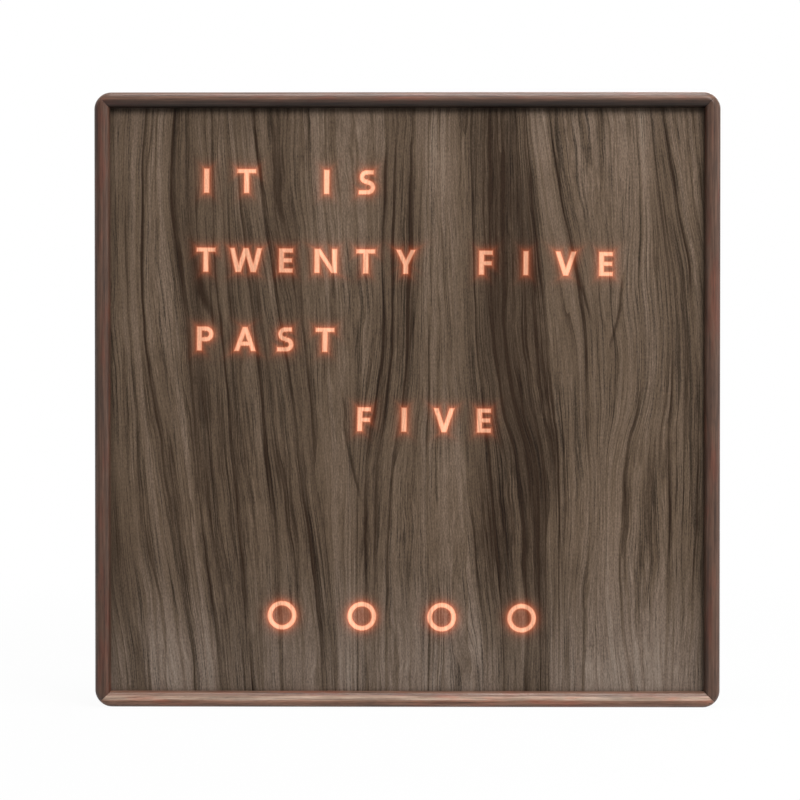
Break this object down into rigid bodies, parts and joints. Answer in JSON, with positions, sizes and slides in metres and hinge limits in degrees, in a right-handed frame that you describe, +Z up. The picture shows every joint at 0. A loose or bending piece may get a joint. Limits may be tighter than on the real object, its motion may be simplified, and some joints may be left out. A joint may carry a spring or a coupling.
{
  "type": "word clock",
  "caption": "Square walnut word clock: lit words shine through an unbroken veneer face, with buttons, a power socket and wall hangers in the recessed back.",
  "frame": {"origin": "under the middle of the box, on the surface that it stands on", "axes": "+X to the viewer's right, +Y to the rear, +Z up; the face looks along -Y"},
  "size_m": [0.3, 0.044, 0.295],
  "materials": {
    "walnut_frame": "satin oiled",
    "walnut_veneer": "matt oiled",
    "spline_wood": "raw",
    "cleat_wood": "raw",
    "mask_film": "matt",
    "opal_acrylic": "satin",
    "baffle_black": "matt",
    "board_green": "satin",
    "lamp_white": "gloss",
    "lamp_lens": "gloss",
    "chip_black": "matt",
    "holder_black": "satin",
    "cell_steel": "brushed",
    "screw_steel": "zinc plated",
    "standoff_brass": "turned",
    "connector_white": "satin",
    "ribbon_grey": "satin",
    "switch_black": "satin",
    "plunger_black": "satin",
    "cap_black": "satin",
    "jack_black": "satin",
    "pin_steel": "plated",
    "cover_black": "black stained board",
    "block_walnut": "oiled",
    "hanger_steel": "zinc plated"
  },
  "bodies": {
    "case": {"rail_top": "walnut_frame", "rail_bottom": "walnut_frame", "rail_left": "walnut_frame", "rail_right": "walnut_frame", "corner_splines": "spline_wood", "face_veneer": "walnut_veneer", "letter_mask": "mask_film", "diffuser_sheet": "opal_acrylic", "light_baffle": "baffle_black", "led_board": "board_green", "led_housings": "lamp_white", "led_lenses": "lamp_lens", "led_board_screws": "screw_steel", "led_connector": "connector_white", "board_connector": "connector_white", "ribbon_cable": "ribbon_grey", "cleat_top": "cleat_wood", "cleat_bottom": "cleat_wood", "cleat_left": "cleat_wood", "cleat_right": "cleat_wood", "back_cover": "cover_black", "back_cover_screws": "screw_steel", "control_board": "board_green", "standoffs": "standoff_brass", "control_board_screws": "screw_steel", "standoff_screws": "screw_steel", "processor_chip": "chip_black", "clock_chip": "chip_black", "cell_holder": "holder_black", "coin_cell": "cell_steel", "power_jack": "jack_black", "jack_pin": "pin_steel", "switch_bodies": "switch_black", "hanger_block_left": "block_walnut", "hanger_block_right": "block_walnut", "hanger_plate_left": "hanger_steel", "hanger_plate_right": "hanger_steel", "hanger_plate_screws": "screw_steel"},
    "set_key": {"set_button": "cap_black", "set_plunger": "plunger_black"},
    "plus_key": {"plus_button": "cap_black", "plus_plunger": "plunger_black"},
    "minus_key": {"minus_button": "cap_black", "minus_plunger": "plunger_black"}
  },
  "joints": [
    {"name": "set_press", "type": "slide", "parent": "case", "child": "set_key", "axis": [0, -1, 0], "range_m": [0, 0.0005], "stiffness_N_per_m": 3000},
    {"name": "plus_press", "type": "slide", "parent": "case", "child": "plus_key", "axis": [0, -1, 0], "range_m": [0, 0.0005], "stiffness_N_per_m": 3000},
    {"name": "minus_press", "type": "slide", "parent": "case", "child": "minus_key", "axis": [0, -1, 0], "range_m": [0, 0.0005], "stiffness_N_per_m": 3000}
  ]
}
